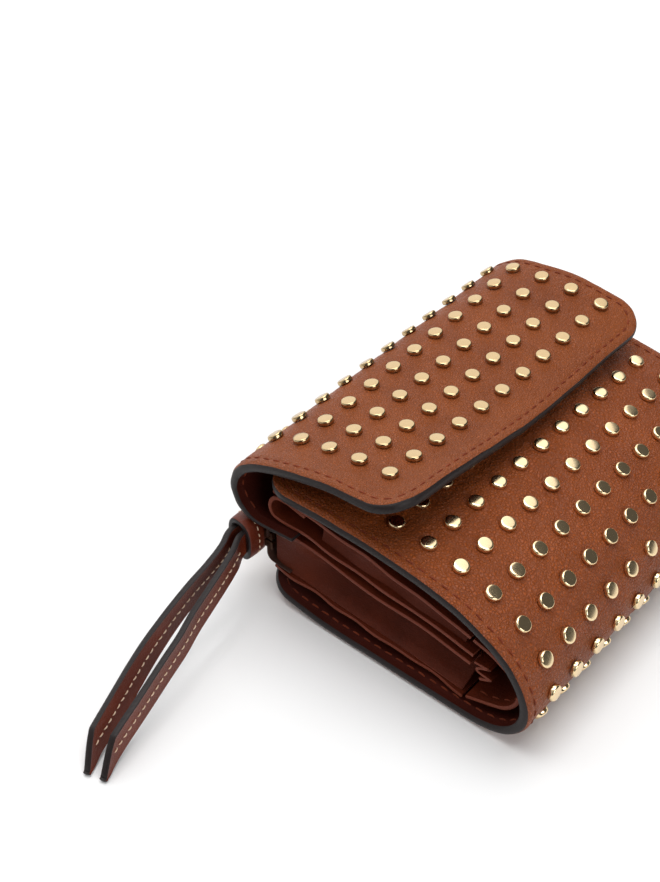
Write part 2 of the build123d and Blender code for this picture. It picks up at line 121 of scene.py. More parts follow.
def smoothstep(t):
    t = np.clip(t, 0, 1)
    return t * t * (3 - 2 * t)


def unit(vectors):
    return vectors / np.maximum(np.linalg.norm(vectors, axis=-1, keepdims=True), 1e-9)


def ripples(x, s, seed, size, amount):
    """Gentle uneven relief: nine random waves about size long and amount high."""
    draw = np.random.default_rng(seed)
    total = np.zeros(np.broadcast(x, s).shape)
    for _ in range(9):
        angle = draw.uniform(0, 2 * math.pi)
        k = 2 * math.pi / (size * draw.uniform(0.6, 1.6))
        total += np.sin(k * (x * math.cos(angle) + s * math.sin(angle)) + draw.uniform(0, 6.3))
    return total * amount / 3.0


def station_weights(x, stations):
    """Share of each of three stations at x, on parabolas that are held steady 8 mm past the outer ones."""
    a, b, c = stations
    t = np.clip(x, a - 8, c + 8)
    return (
        (t - b) * (t - c) / ((a - b) * (a - c)),
        (t - a) * (t - c) / ((b - a) * (b - c)),
        (t - a) * (t - b) / ((c - a) * (c - b)),
    )


class Surface:
    """A bent sheet: x runs along its folds and s along its profile, from 0 to length, on the outer face.

    A profile is a list of (y, z) points. Three profiles at three stations in x make a sheet whose shape
    changes along the folds. half is half the width in x, round_start and round_end are the radii of the
    corners at the two ends of the profile, and lift adds a height.
    """

    def __init__(self, profiles, stations=(0,), half=0.0, round_start=0.0, round_end=0.0, lift=None):
        self.profiles = [smooth(p) for p in profiles]
        self.stations = stations
        self.length = float(np.mean([run_length(p)[-1] for p in self.profiles]))
        self.half = half
        self.round_start = round_start
        self.round_end = round_end
        self.lift = lift

    def plain(self, x, s):
        """Points of the sheet before any relief."""
        x, s = np.broadcast_arrays(np.asarray(x, float), np.asarray(s, float))
        fraction = np.clip(s / self.length, 0, 1)
        yz = [points_at(p, np.linspace(0, 1, len(p)), fraction) for p in self.profiles]
        mixed = yz[0]
        if len(yz) > 1:
            mixed = sum(w[..., None] * q for w, q in zip(station_weights(x, self.stations), yz))
        point = np.stack([x, mixed[..., 0], mixed[..., 1]], -1)
        if self.lift is not None:
            point[..., 2] += self.lift(x, s, self.length)
        return point

    def face(self, x, s, step=0.3):
        """Points of the sheet and unit normals pointing out of it."""
        x, s = np.asarray(x, float), np.asarray(s, float)
        along_s = self.plain(x, np.minimum(s + step, self.length)) - self.plain(x, np.maximum(s - step, 0))
        along_x = self.plain(x + step, s) - self.plain(x - step, s)
        return self.plain(x, s), unit(np.cross(along_s, along_x))

    def half_width(self, s):
        """Half the sheet's width at s, less where its corners are round."""
        s = np.asarray(s, float)
        w = np.full(s.shape, self.half)
        for radius, d in ((self.round_start, s), (self.round_end, self.length - s)):
            if radius > 0:
                q = np.clip(radius - d, 0, radius)
                w = np.where(d < radius, self.half - radius + np.sqrt(radius**2 - q**2), w)
        return w

    def border(self, x, s):
        """Distance inwards from the sheet's outline."""
        x, s = np.abs(np.asarray(x, float)), np.asarray(s, float)
        d = np.minimum(self.half - x, np.minimum(s, self.length - s))
        for radius, e in ((self.round_start, s), (self.round_end, self.length - s)):
            if radius > 0:
                in_x, in_s = x - (self.half - radius), radius - e
                d = np.where((in_x > 0) & (in_s > 0), radius - np.hypot(in_x, in_s), d)
        return d

    def rows(self, count):
        """Values of s for a grid, closer together towards round ends."""
        start, end = self.round_start, self.length - self.round_end
        parts = []
        if self.round_start > 0:
            parts.append(start - start * np.sin(np.linspace(math.pi / 2, 0, 22, endpoint=False)))
        parts.append(np.linspace(start, end, count))
        if self.round_end > 0:
            parts.append(end + self.round_end * np.sin(np.linspace(0, math.pi / 2, 23)[1:]))
        return np.concatenate(parts)


class Skin(Surface):
    """A studded sheet with a turned, painted edge, a row of stitches round it and a lining.

    thickness is a function of s, and shift moves the stud grid along x. stud_rows holds each row's s.
    """

    def __init__(self, profiles, seed, thickness, shift=0.0, **shape):
        super().__init__(profiles, **shape)
        self.seed = seed
        self.thickness = thickness
        self.shift = shift
        self.stud_rows = []

    def relief(self, x, s):
        """Height of the leather over the plain sheet: edge turned down, seam sunk, dips round the studs."""
        d = self.border(x, s)
        turned_down = -0.42 * np.exp(-np.maximum(d, 0) / 0.55)
        sunk_seam = -0.17 * np.exp(-(((d - SEAM_INSET) / 0.42) ** 2))
        raised_rim = 0.06 * np.exp(-(((d - 1.2) / 0.6) ** 2))
        uneven = ripples(x, s, self.seed, 16.0, 0.10) + ripples(x, s, self.seed + 1, 5.0, 0.025)
        h = turned_down + sunk_seam + raised_rim + uneven
        last = STUD_COUNT - 1
        column = np.clip(np.round((x - self.shift) / STUD_PITCH + last / 2), 0, last) - last / 2
        beside = x - self.shift - column * STUD_PITCH
        for row in self.stud_rows:
            dip = 0.26 * np.exp(-(beside**2 + (s - row) ** 2) / 6.5)
            h = np.where(np.abs(s - row) < 6, h - dip, h)
        return h

    def outer(self, x, s):
        """Points and normals on the leather's face."""
        p, n = self.face(x, s)
        return p + n * self.relief(x, s)[..., None], n

    def inner(self, x, s):
        """Points and normals on the lining's face."""
        p, n = self.face(x, s)
        return p - n * self.thickness(s)[..., None], -n


# ---- meshes -------------------------------------------------------------------------------------
EDGE_UV_SHIFT = 200.0  # sets the texture of an edge far from that of the faces
EDGE_SHAPE = 0.55  # exponent that makes an edge squarer than a plain arch


def write_mesh(name, vertices, faces, materials, uv, smooth_angle, slots=None):
    """Smooth-shaded mesh object from points in millimetres; slots holds each face's material."""
    mesh = bpy.data.meshes.new(name)
    mesh.from_pydata((np.asarray(vertices) * MM).tolist(), [], [list(map(int, f)) for f in faces])
    for m in materials:
        mesh.materials.append(m)
    if slots is not None:
        mesh.polygons.foreach_set("material_index", np.asarray(slots, np.int32))
    layer = mesh.uv_layers.new(name="UVMap")
    corner = np.zeros(len(mesh.loops), np.int32)
    mesh.loops.foreach_get("vertex_index", corner)
    layer.data.foreach_set("uv", np.asarray(uv, np.float32)[corner].ravel())
    mesh.validate()
    obj = bpy.data.objects.new(name, mesh)
    bpy.context.scene.collection.objects.link(obj)
    mesh.polygons.foreach_set("use_smooth", np.ones(len(mesh.polygons), bool))
    mesh.set_sharp_from_angle(angle=math.radians(smooth_angle))
    mesh.update()
    return obj


class Builder:
    """Collects small solids into one mesh."""

    def __init__(self):
        self.vertices = []
        self.faces = []
        self.uv = []
        self.count = 0

    def add(self, vertices, faces, uv=None):
        """Adds a solid; its texture follows its place where uv isn't given."""
        vertices = np.asarray(vertices, float)
        self.vertices.append(vertices)
        self.faces += [[v + self.count for v in f] for f in faces]
        self.uv.append(vertices[:, :2] + vertices[:, 2:3] * 0.7 if uv is None else uv)
        self.count += len(vertices)

    def build(self, name, finish, smooth_angle=40.0):
        vertices, uv = np.vstack(self.vertices), np.vstack(self.uv)
        return write_mesh(name, vertices, self.faces, [finish], uv, smooth_angle)


def sheet_uv(x, s):
    """Texture coordinates of a grid of points: millimetres along the sheet."""
    return np.stack([x, s], -1).reshape(-1, 2)


def loop_indices(nu, ns):
    """Indices round the edge of a grid, in order."""
    a = [(0, j) for j in range(ns)]
    b = [(i, ns - 1) for i in range(1, nu)]
    c = [(nu - 1, j) for j in range(ns - 2, -1, -1)]
    d = [(i, 0) for i in range(nu - 2, 0, -1)]
    return np.array([i * ns + j for i, j in a + b + c + d])


def outward_round(outer, normal, loop):
    """Unit vectors that point out of a sheet, in its own plane, at each point of its edge loop."""
    nu, ns, _ = outer.shape
    edge = outer.reshape(-1, 3)[loop]
    out = unit(np.cross(np.roll(edge, -1, 0) - np.roll(edge, 1, 0), normal.reshape(-1, 3)[loop]))
    deeper = outer[np.clip(loop // ns, 2, nu - 3), np.clip(loop % ns, 2, ns - 3)]
    sign = np.sign(((edge - deeper) * out).sum(1))
    sign[sign == 0] = 1
    out *= sign[:, None]
    for _ in range(2):
        out = (np.roll(out, 1, 0) + out * 2 + np.roll(out, -1, 0)) / 4
    return unit(out)


def slab(name, outer, normal, uv, materials, thickness, bulge, edge_steps=5, depth=None):
    """Closed sheet from a grid of points on its outer face: outer face, rounded edge and inner face.

    The three materials are those of the outer face, the edge and the inner face, and the edge stands out by
    bulge. depth gives the thickness at each point where it isn't the same everywhere.
    """
    nu, ns, _ = outer.shape
    total = nu * ns
    inner = outer - normal * (thickness if depth is None else depth[..., None])
    i, j = np.meshgrid(np.arange(nu - 1), np.arange(ns - 1), indexing="ij")
    a = (i * ns + j).ravel()
    above = np.stack([a, a + 1, a + ns + 1, a + ns], 1)
    under = above[:, ::-1] + total

    loop = loop_indices(nu, ns)
    out = outward_round(outer, normal, loop)
    top, bottom = outer.reshape(-1, 3)[loop], inner.reshape(-1, 3)[loop]
    vertices = [outer.reshape(-1, 3), inner.reshape(-1, 3)]
    uvs = [uv, uv]
    rings = [loop]
    for k in range(1, edge_steps):
        f = k / edge_steps
        vertices.append(top + (bottom - top) * f + out * bulge * math.sin(math.pi * f) ** EDGE_SHAPE)
        uvs.append(uv[loop] + np.array([0.0, f * thickness + EDGE_UV_SHIFT]))
        rings.append(np.arange(len(loop)) + 2 * total + (k - 1) * len(loop))
    rings.append(loop + total)
    bands = [
        np.stack([first, np.roll(first, -1), np.roll(second, -1), second], 1)
        for first, second in zip(rings[:-1], rings[1:])
    ]
    band = np.vstack(bands)
    vertices = np.vstack(vertices)
    # The edge's faces may run either way round, so one face is tested and all are turned if it looks inwards.
    sample = len(band) // 3
    a, b, _, d = vertices[band[sample]]
    if np.dot(np.cross(b - a, d - a), out[sample % len(loop)]) < 0:
        band = band[:, ::-1]
    slots = [0] * len(above) + [2] * len(under) + [1] * len(band)
    return write_mesh(name, vertices, np.vstack([above, under, band]), materials, np.vstack(uvs), 55.0, slots)


def place(obj, body, cad=None):
    """Gives a finished piece its body, and lets it stand for the CAD node cad."""
    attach(obj, body)
    if cad is not None:
        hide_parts(cad)


# ---- materials ----------------------------------------------------------------------------------
def material(name):
    m = bpy.data.materials.new(name)
    m.use_nodes = True
    nodes, links = m.node_tree.nodes, m.node_tree.links
    nodes.clear()
    output = nodes.new("ShaderNodeOutputMaterial")
    shader = nodes.new("ShaderNodeBsdfPrincipled")
    links.new(shader.outputs[0], output.inputs[0])
    return m, nodes, links, shader


def node(nodes, kind, **values):
    """A new node; values named in_... set its input sockets and the others its own settings."""
    n = nodes.new(kind)
    for key, value in values.items():
        if key.startswith("in_"):
            n.inputs[key[3:].replace("_", " ")].default_value = value
        else:
            setattr(n, key, value)
    return n


def textured(nodes, links, kind, source, **values):
    """A texture node that reads the coordinates source."""
    n = node(nodes, kind, **values)
    links.new(source, n.inputs["Vector"])
    return n


def ramp(nodes, links, source, stops):
    r = nodes.new("ShaderNodeValToRGB")
    while len(r.color_ramp.elements) < len(stops):
        r.color_ramp.elements.new(0.5)
    for e, (position, colour) in zip(r.color_ramp.elements, stops):
        e.position = position
        e.color = (*colour, 1)
    links.new(source, r.inputs[0])
    return r.outputs[0]


def add_scaled(nodes, links, source, factor, base):
    """source times factor, plus base."""
    n = node(nodes, "ShaderNodeMath", operation="MULTIPLY_ADD")
    links.new(source, n.inputs[0])
    n.inputs[1].default_value = factor
    links.new(base, n.inputs[2])
    return n.outputs[0]


def bumped(nodes, links, shader, height, strength, depth):
    """Bumps the shader's normal by height, up to depth millimetres."""
    n = node(nodes, "ShaderNodeBump", in_Strength=strength, in_Distance=depth * MM)
    links.new(height, n.inputs["Height"])
    links.new(n.outputs[0], shader.inputs["Normal"])


def leather(name, dark, light, pebble=1.7, depth=0.10, rough=0.46, crease_shade=0.35, specular=0.3):
    """Pebbled leather: cells with painted shade in the creases between them, and a tone that drifts from
    place to place.
    """
    m, nodes, links, shader = material(name)
    uv = node(nodes, "ShaderNodeUVMap", uv_map="UVMap").outputs[0]
    warp = textured(nodes, links, "ShaderNodeTexNoise", uv, in_Scale=0.9, in_Detail=2.0)
    moved = node(nodes, "ShaderNodeVectorMath", operation="MULTIPLY_ADD")
    links.new(warp.outputs["Color"], moved.inputs[0])
    moved.inputs[1].default_value = (0.5, 0.5, 0.0)
    links.new(uv, moved.inputs[2])
    cells = textured(nodes, links, "ShaderNodeTexVoronoi", moved.outputs[0], in_Scale=pebble)
    cells.feature = "DISTANCE_TO_EDGE"
    tops = textured(nodes, links, "ShaderNodeTexVoronoi", moved.outputs[0], in_Scale=pebble * 0.55)
    tops.feature = "F1"
    grains = textured(nodes, links, "ShaderNodeTexNoise", uv, in_Scale=6.0, in_Detail=3.0)
    cloud = textured(nodes, links, "ShaderNodeTexNoise", uv, in_Scale=0.06, in_Detail=3.0, in_Roughness=0.6)
    creased = ramp(nodes, links, cells.outputs["Distance"], [(0.0, (0, 0, 0)), (0.32, (1, 1, 1))])
    shade = node(nodes, "ShaderNodeMix", data_type="RGBA", blend_type="MULTIPLY")
    # painted shade: the creases between the pebbles are darkened in the base colour
    shade.inputs["Factor"].default_value = crease_shade
    links.new(ramp(nodes, links, cloud.outputs["Fac"], [(0.3, dark), (0.72, light)]), shade.inputs["A"])
    links.new(creased, shade.inputs["B"])
    links.new(shade.outputs["Result"], shader.inputs["Base Color"])
    height = add_scaled(nodes, links, creased, 0.7, tops.outputs["Distance"])
    height = add_scaled(nodes, links, grains.outputs["Fac"], 0.35, height)
    bumped(nodes, links, shader, height, 0.8, depth)
    roughness = node(nodes, "ShaderNodeMapRange", in_To_Min=rough + 0.1, in_To_Max=rough - 0.06)
    links.new(creased, roughness.inputs["Value"])
    links.new(roughness.outputs[0], shader.inputs["Roughness"])
    shader.inputs["Specular IOR Level"].default_value = specular
    return m


def painted(name, base, light, rough=0.42, grain=2.2, specular=0.4):
    """Edge paint, thread or a burnished raw edge: nearly plain, with faint brush marks."""
    m, nodes, links, shader = material(name)
    uv = node(nodes, "ShaderNodeUVMap", uv_map="UVMap").outputs[0]
    noise = textured(nodes, links, "ShaderNodeTexNoise", uv, in_Scale=grain, in_Detail=4.0).outputs["Fac"]
    links.new(ramp(nodes, links, noise, [(0.3, base), (0.75, light)]), shader.inputs["Base Color"])
    bumped(nodes, links, shader, noise, 0.5, 0.08)
    shader.inputs["Roughness"].default_value = rough
    shader.inputs["Specular IOR Level"].default_value = specular
    return m


def metal(name, colour, rough, scratch):
    """Metal with a very fine unevenness in its colour, and in its polish by scratch."""
    m, nodes, links, shader = material(name)
    where = node(nodes, "ShaderNodeTexCoord").outputs["Object"]
    noise = textured(nodes, links, "ShaderNodeTexNoise", where, in_Scale=900.0, in_Detail=2.0).outputs["Fac"]
    spread = node(nodes, "ShaderNodeMapRange", in_To_Min=rough, in_To_Max=rough + scratch)
    links.new(noise, spread.inputs["Value"])
    links.new(spread.outputs[0], shader.inputs["Roughness"])
    tint = ramp(nodes, links, noise, [(0.2, [c * 0.93 for c in colour]), (0.8, colour)])
    links.new(tint, shader.inputs["Base Color"])
    shader.inputs["Metallic"].default_value = 1.0
    return m


def woven(name, dark, light):
    """Zip tape: a diagonal weave."""
    m, nodes, links, shader = material(name)
    uv = node(nodes, "ShaderNodeUVMap", uv_map="UVMap").outputs[0]
    weave = {"wave_type": "BANDS", "bands_direction": "DIAGONAL", "in_Scale": 2.4, "in_Distortion": 0.6}
    wave = textured(nodes, links, "ShaderNodeTexWave", uv, **weave).outputs["Fac"]
    links.new(ramp(nodes, links, wave, [(0.2, dark), (0.8, light)]), shader.inputs["Base Color"])
    bumped(nodes, links, shader, wave, 0.9, 0.12)
    shader.inputs["Roughness"].default_value = 0.85
    return m


LEATHER = leather(
    "cognac_leather", (0.235, 0.053, 0.0095), (0.315, 0.076, 0.0145), depth=0.30, rough=0.42, specular=0.22
)
PANEL_LEATHER = leather(
    "cognac_leather_panel", (0.235, 0.050, 0.0086), (0.325, 0.074, 0.0138),
    pebble=1.25, depth=0.34, rough=0.38, specular=0.26,
)
# the leaves' own reddish brown, darkened further as painted shade for the inside of the wallet
LEAF_WITH_PAINTED_SHADE = leather(
    "leaf_leather_painted_shade", (0.080, 0.011, 0.0026), (0.125, 0.019, 0.005),
    pebble=2.4, depth=0.06, rough=0.5, crease_shade=0.15, specular=0.16,
)
# the lining's own dark brown, darkened further as painted shade for the inside of the wallet
LINING_WITH_PAINTED_SHADE = leather(
    "lining", (0.040, 0.0055, 0.0028), (0.065, 0.010, 0.005),
    pebble=3.0, depth=0.04, rough=0.55, crease_shade=0.1, specular=0.12,
)
STRAP = leather(
    "strap_leather", (0.10, 0.014, 0.004), (0.165, 0.026, 0.008),
    pebble=2.6, depth=0.05, rough=0.34, crease_shade=0.12, specular=0.3,
)
EDGE = painted("edge_paint", (0.009, 0.006, 0.006), (0.022, 0.015, 0.014), rough=0.42, specular=0.22)
LEAF_EDGE = painted(
    "leaf_edge", (0.12, 0.024, 0.011), (0.20, 0.045, 0.022), rough=0.6, grain=4.0, specular=0.2
)
THREAD = painted(
    "thread_rust", (0.12, 0.020, 0.006), (0.20, 0.036, 0.011), rough=0.7, grain=9.0, specular=0.2
)
CREAM = painted("thread_cream", (0.62, 0.44, 0.30), (0.85, 0.66, 0.48), rough=0.75, grain=9.0)
GOLD = metal("stud_gold", (0.93, 0.72, 0.43), rough=0.13, scratch=0.03)
# painted shade: a darker copy of the stud gold, for the flap studs that face the key light
FLAP_GOLD_SHADED = metal("flap_stud_gold_shaded", (0.54, 0.395, 0.218), rough=0.15, scratch=0.03)
BRASS = metal("zip_brass", (0.30, 0.19, 0.08), rough=0.34, scratch=0.10)
BRONZE = metal("zip_stop_bronze", (0.055, 0.022, 0.010), rough=0.45, scratch=0.10)
TAPE = woven("zip_tape", (0.040, 0.010, 0.004), (0.080, 0.022, 0.008))
LEAF_FACES = [LEAF_WITH_PAINTED_SHADE, LEAF_EDGE, LEAF_WITH_PAINTED_SHADE]


# ---- stitches and studs -----------------------------------------------------------------------------
STITCH_RINGS, STITCH_SIDES = 7, 8  # sections along a stitch, and points round each


def stitches(build, seam, length=2.5, gap=0.75, radius=0.22, sink=0.06, seed=1):
    """Thread along a seam, given as points and outward normals: one short arched capsule per stitch."""
    points, normals = seam
    run = run_length(points)
    count = int(run[-1] // (length + gap))
    pitch = run[-1] / max(count, 1)
    draw = np.random.default_rng(seed)
    turns = 2 * math.pi * np.arange(STITCH_SIDES) / STITCH_SIDES
    faces = []
    for m in range(STITCH_RINGS - 1):
        for q in range(STITCH_SIDES):
            a, b = m * STITCH_SIDES + q, m * STITCH_SIDES + (q + 1) % STITCH_SIDES
            faces.append([a, b, b + STITCH_SIDES, a + STITCH_SIDES])
    faces.append(list(range(STITCH_SIDES))[::-1])
    faces.append([(STITCH_RINGS - 1) * STITCH_SIDES + q for q in range(STITCH_SIDES)])
    for k in range(count):
        start = k * pitch + gap / 2 + draw.uniform(-0.05, 0.05)
        f = np.linspace(0, 1, STITCH_RINGS)
        up = unit(points_at(normals, run, start + (pitch - gap) * f))
        arch = np.abs(np.sin(math.pi * f))[:, None] ** 0.5
        centre = points_at(points, run, start + (pitch - gap) * f)
        centre = centre + up * (radius * 0.75 * arch - sink - radius * 0.9 * (1 - arch))
        side = unit(np.cross(unit(centre[-1] - centre[0]), up[STITCH_RINGS // 2]))
        skew = draw.uniform(-0.12, 0.12)
        vertices = []
        for g, c, u in zip(np.linspace(-1, 1, STITCH_RINGS), centre, up):
            w = radius * (1 - abs(g) ** 4 * 0.75)
            vertices += [c + side * (math.cos(t) * w + g * skew) + u * math.sin(t) * w for t in turns]
        uv = np.tile([[k * 1.7, 0.0]], (len(vertices), 1)) + draw.uniform(0, 3)
        build.add(vertices, faces, uv)


# A stud's section: radius and height over the leather, from the middle of its top to under its rim.
STUD_PROFILE = [
    (0.0, 1.20), (0.5, 1.196), (1.0, 1.184), (1.4, 1.167), (1.66, 1.145), (1.79, 1.09), (1.89, 0.98),
    (1.96, 0.82), (2.0, 0.66), (2.0, 0.10), (1.93, 0.0), (1.5, -0.15),
]
STUD_SIDES = 32
STUD_LEAN = 0.02  # how far a stud's axis may lean, as a slope


def add_stud(build, point, normal, spin, lean):
    """A round stud on point, turned by spin and leaning a little."""
    along_x = np.array([1.0, 0, 0])
    normal = unit(normal + along_x * lean[0] + np.cross(normal, along_x) * lean[1])
    across = unit(along_x - normal * normal[0])
    other = np.cross(normal, across)
    vertices = [point + normal * STUD_PROFILE[0][1]]
    for r, h in STUD_PROFILE[1:]:
        for k in range(STUD_SIDES):
            a = spin + 2 * math.pi * k / STUD_SIDES
            vertices.append(point + across * r * math.cos(a) + other * r * math.sin(a) + normal * h)
    faces = [[0, 1 + k, 1 + (k + 1) % STUD_SIDES] for k in range(STUD_SIDES)]
    for m in range(len(STUD_PROFILE) - 2):
        for k in range(STUD_SIDES):
            a, b = 1 + m * STUD_SIDES + k, 1 + m * STUD_SIDES + (k + 1) % STUD_SIDES
            faces.append([a, a + STUD_SIDES, b + STUD_SIDES, b])
    build.add(vertices, faces)


def stud_row(build, skin, s):
    """A row of studs along x; gives its middle and its mean normal."""
    total = np.zeros(3)
    for k in range(STUD_COUNT):
        x = (k - (STUD_COUNT - 1) / 2) * STUD_PITCH + skin.shift
        p, n = skin.face(x, s, 0.8)
        add_stud(build, p + n * 0.02, n, rng.uniform(0, 6.3), rng.uniform(-STUD_LEAN, STUD_LEAN, 2))
        total += n
    return skin.plain(skin.shift, s), unit(total)


def studs(cad, skin, rows, finish):
    """Rows of studs as one piece that stands for the CAD node cad; gives the last row's middle and normal."""
    build = Builder()
    for s in rows:
        middle, normal = stud_row(build, skin, s)
    obj = build.build(cad + "_shown", finish, 30)
    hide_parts(cad)
    return obj, middle, normal


def follow_skin(obj):
    """Bakes the transform of a rigid row of studs into its mesh."""
    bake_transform(obj)


# ---- skins ------------------------------------------------------------------------------------------
def skin_grid(skin, columns, rows):
    """(x, s) grid of a skin, with its columns closer together towards the edges."""
    s = skin.rows(rows)
    even = np.linspace(-1, 1, columns)
    reach = math.pi / 2 * 0.93
    crowding = 0.35  # 0 for even columns
    u = np.sin(even * reach) / math.sin(reach) * crowding + even * (1 - crowding)
    x = u[:, None] * skin.half_width(s)[None, :]
    return x, np.broadcast_to(s[None, :], x.shape)


def make_skin(name, skin, grid, face, cad_nodes):
    """The sheet itself, in one piece, standing for the CAD nodes cad_nodes."""
    x, s = skin_grid(skin, *grid)
    outer, normal = skin.outer(x, s)
    depth = skin.thickness(s) + skin.relief(x, s) * 0.6  # leaves the lining's face 0.4 of the relief
    faces = [face, EDGE, LINING_WITH_PAINTED_SHADE]
    obj = slab(name, outer, normal, sheet_uv(x, s), faces, thickness=SKIN, bulge=0.34, depth=depth)
    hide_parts(*cad_nodes)
    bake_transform(obj)


def quarter(x, s, radius, start):
    """Quarter circle round (x, s), clockwise from the angle start, which counts quarter turns."""
    angles = (start - np.linspace(0, 1, 24)) * math.pi / 2
    return [(x + radius * math.cos(a), s + radius * math.sin(a)) for a in angles]


def make_seam(name, skin, s_start, round_start, count, seed):
    """Stitches seen on both faces: up the near side from s_start, round the end and down the far side.

    With round_start they also go round the start. The path is sampled at count points.
    """
    w, end = skin.half - SEAM_INSET, skin.length - SEAM_INSET
    r = CORNER - SEAM_INSET
    path = [(-w, s_start + (r if round_start else 0))]
    path += quarter(r - w, end - r, r, 2) + quarter(w - r, end - r, r, 1)
    if round_start:
        path += quarter(w - r, s_start + r, r, 0) + quarter(r - w, s_start + r, r, -1)
    else:
        path.append((w, s_start))
    x, s = resample(np.array(path), count).T
    build = Builder()
    stitches(build, skin.outer(x, s), seed=seed)
    stitches(build, skin.inner(x, s), seed=seed + 1, sink=0.02)
    obj = build.build(name, THREAD)
    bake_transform(obj)


back_low, back_high = box_mm("back_panel_leather")
SKIN_HALF = (back_high[0] - back_low[0]) / 2 - EDGE_ROOM


# ---- flap: one skin from its tucked-in tail, round the rear fold, to the front edge -----------------
def tail_and_curl(rise):
    """First points of a flap profile: its tucked-in tail, then up to its rearmost point, raised by rise."""
    return [(24.0, 22.9), (33.0, 22.2), (38.2, 22.4), (41.9, 24.6), (43.8, 28.4), (44.1, 31.5 + rise)]


FLAP_STATIONS = (-45.0, 0.0, 45.0)
FLAP_PROFILES = [
    tail_and_curl(-1.0) + [
        (43.2, 34.4), (41.8, 36.9), (40.0, 39.0), (36.6, 41.3), (32.7, 42.8), (24.0, 45.0), (15.0, 46.7),
        (6.4, 47.6), (0.0, 48.8), (-6.0, 51.2),
    ],
    tail_and_curl(0.0) + [
        (43.6, 35.2), (42.3, 38.6), (39.9, 41.3), (36.4, 43.0), (32.4, 43.8), (23.3, 44.4), (14.4, 44.5),
        (5.5, 44.2), (0.0, 44.0), (-6.0, 43.8),
    ],
    tail_and_curl(1.0) + [
        (43.7, 37.0), (42.0, 41.2), (38.7, 43.9), (35.0, 45.9), (31.1, 46.8), (22.3, 47.4), (13.4, 47.3),
        (4.6, 46.4), (0.0, 45.4), (-6.0, 43.8),
    ],
]
# The flap's front edge as (x, z) points: its near corner stands up and its middle lies lowest.
FLAP_EDGE = [
    (-54.5, 52.6), (-50.0, 51.4), (-44.0, 50.6), (-30.6, 48.6), (-15.7, 46.0), (0.0, 43.9), (17.0, 43.4),
    (33.0, 43.9), (46.0, 43.7), (54.5, 44.5),
]


def flap_lift(x, s, length):
    """Brings the last 20 mm of the flap from its profiles to the line of its front edge."""
    weights = station_weights(x, FLAP_STATIONS)
    from_profiles = sum(w * profile[-1][1] for w, profile in zip(weights, FLAP_PROFILES))
    line = smooth(FLAP_EDGE, 400)
    wanted = np.interp(x, line[:, 0], line[:, 1])
    return (wanted - from_profiles) * smoothstep((s - (length - 20)) / 20)


def flap_thickness(s):
    """The tucked-in tail is leather alone; the flap has board and lining too."""
    return SKIVED + (SKIN - SKIVED) * smoothstep((s - 10.0) / 8.0)


flap = Skin(
    FLAP_PROFILES, 11, flap_thickness, FLAP_SHIFT,
    stations=FLAP_STATIONS, half=SKIN_HALF, round_end=CORNER, lift=flap_lift,
)
flap.stud_rows = [flap.length - FLAP_EDGE_TO_STUDS - k * STUD_PITCH for k in range(6)]
make_skin(
    "flap_skin", flap, (230, 210), LEATHER,
    ["flap_leather", "flap_spine_leather", "flap_lining", "flap_spine_lining", "flap_board"],
)
make_seam("flap_seam", flap, 14.0, False, count=1600, seed=3)
flap_studs, _, _ = studs("flap_studs", flap, flap.stud_rows[:4], FLAP_GOLD_SHADED)
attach(flap_studs, "flap")
for cad, s in (("shoulder_studs", flap.stud_rows[4]), ("spine_studs", flap.stud_rows[5])):
    row, middle, normal = studs(cad, flap, [s], FLAP_GOLD_SHADED)
    follow_skin(row)


# ---- shell: front panel, front fold and back panel as one skin --------------------------------------
SHELL_PROFILE = [
    (34.6, 36.6), (27.0, 37.1), (18.0, 37.3), (9.0, 37.2), (0.0, 36.8), (-8.5, 36.0), (-17.3, 34.6),
    (-26.0, 32.2), (-34.0, 28.2), (-40.0, 22.8), (-43.3, 16.8), (-43.9, 11.5), (-42.2, 6.5), (-38.0, 2.6),
    (-32.0, 0.6), (-25.0, 0.25), (-12.0, 0.25), (0.0, 0.25), (12.0, 0.25), (20.0, 0.9), (28.0, 2.2),
    (34.6, 3.9),
]


def shell_thickness(s):
    return np.full(np.shape(s), SKIN)


shell = Skin([SHELL_PROFILE], 21, shell_thickness, half=SKIN_HALF, round_start=CORNER, round_end=CORNER)
shell.stud_rows = [PANEL_EDGE_TO_STUDS + k * STUD_PITCH for k in range(8)]
make_skin(
    "shell_skin", shell, (210, 330), PANEL_LEATHER,
    ["front_panel_leather", "back_panel_leather", "front_panel_lining", "back_panel_lining",
     "front_panel_board", "back_panel_board"],
)
make_seam("shell_seam", shell, SEAM_INSET, True, count=2600, seed=5)
panel_studs, _, _ = studs("front_panel_studs", shell, shell.stud_rows[:6], GOLD)
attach(panel_studs, "front_panel")
for cad, s in (("fold_studs_upper", shell.stud_rows[6]), ("fold_studs_lower", shell.stud_rows[7])):
    row, middle, normal = studs(cad, shell, [s], GOLD)
    follow_skin(row)


# ---- leaves of the middle block, as (y, z) profiles ---------------------------------------------------
CARD_LEAF = [(31.8, 33.5), (18.5, 31.9), (0.5, 29.2), (-17.5, 26.0), (-26.0, 24.4)]
FOLD = [
    (-27.0, 24.1), (-33.6, 21.9), (-37.8, 19.0), (-39.6, 15.3), (-39.4, 11.4), (-37.0, 8.1), (-32.5, 5.7),
    (-26.6, 4.5),
]
NOTE_FLOOR = [(-27.0, 18.6), (-17.5, 19.8), (0.0, 21.8), (18.0, 23.8), (28.0, 24.8)]
NOTE_WALL = NOTE_FLOOR + [(32.2, 26.0), (33.4, 28.6), (32.2, 31.2), (28.6, 32.0), (22.0, 31.2)]
ROOF = [(28.5, 22.1), (24.0, 21.8), (9.5, 20.2), (-8.5, 18.3), (-26.5, 16.4)]
FLOOR = [(32.0, 8.9), (27.5, 8.5), (9.5, 7.2), (-8.5, 6.1), (-25.2, 4.4)]
PLEAT = [(-27.6, 17.4), (-31.9, 17.3), (-28.6, 15.2), (-32.4, 14.3), (-29.4, 12.4)]
LEAF_SEAM_INSET = 2.2
block_low, block_high = box_mm("card_leaf")
BLOCK_HALF = (block_high[0] - block_low[0]) / 2 - 0.3


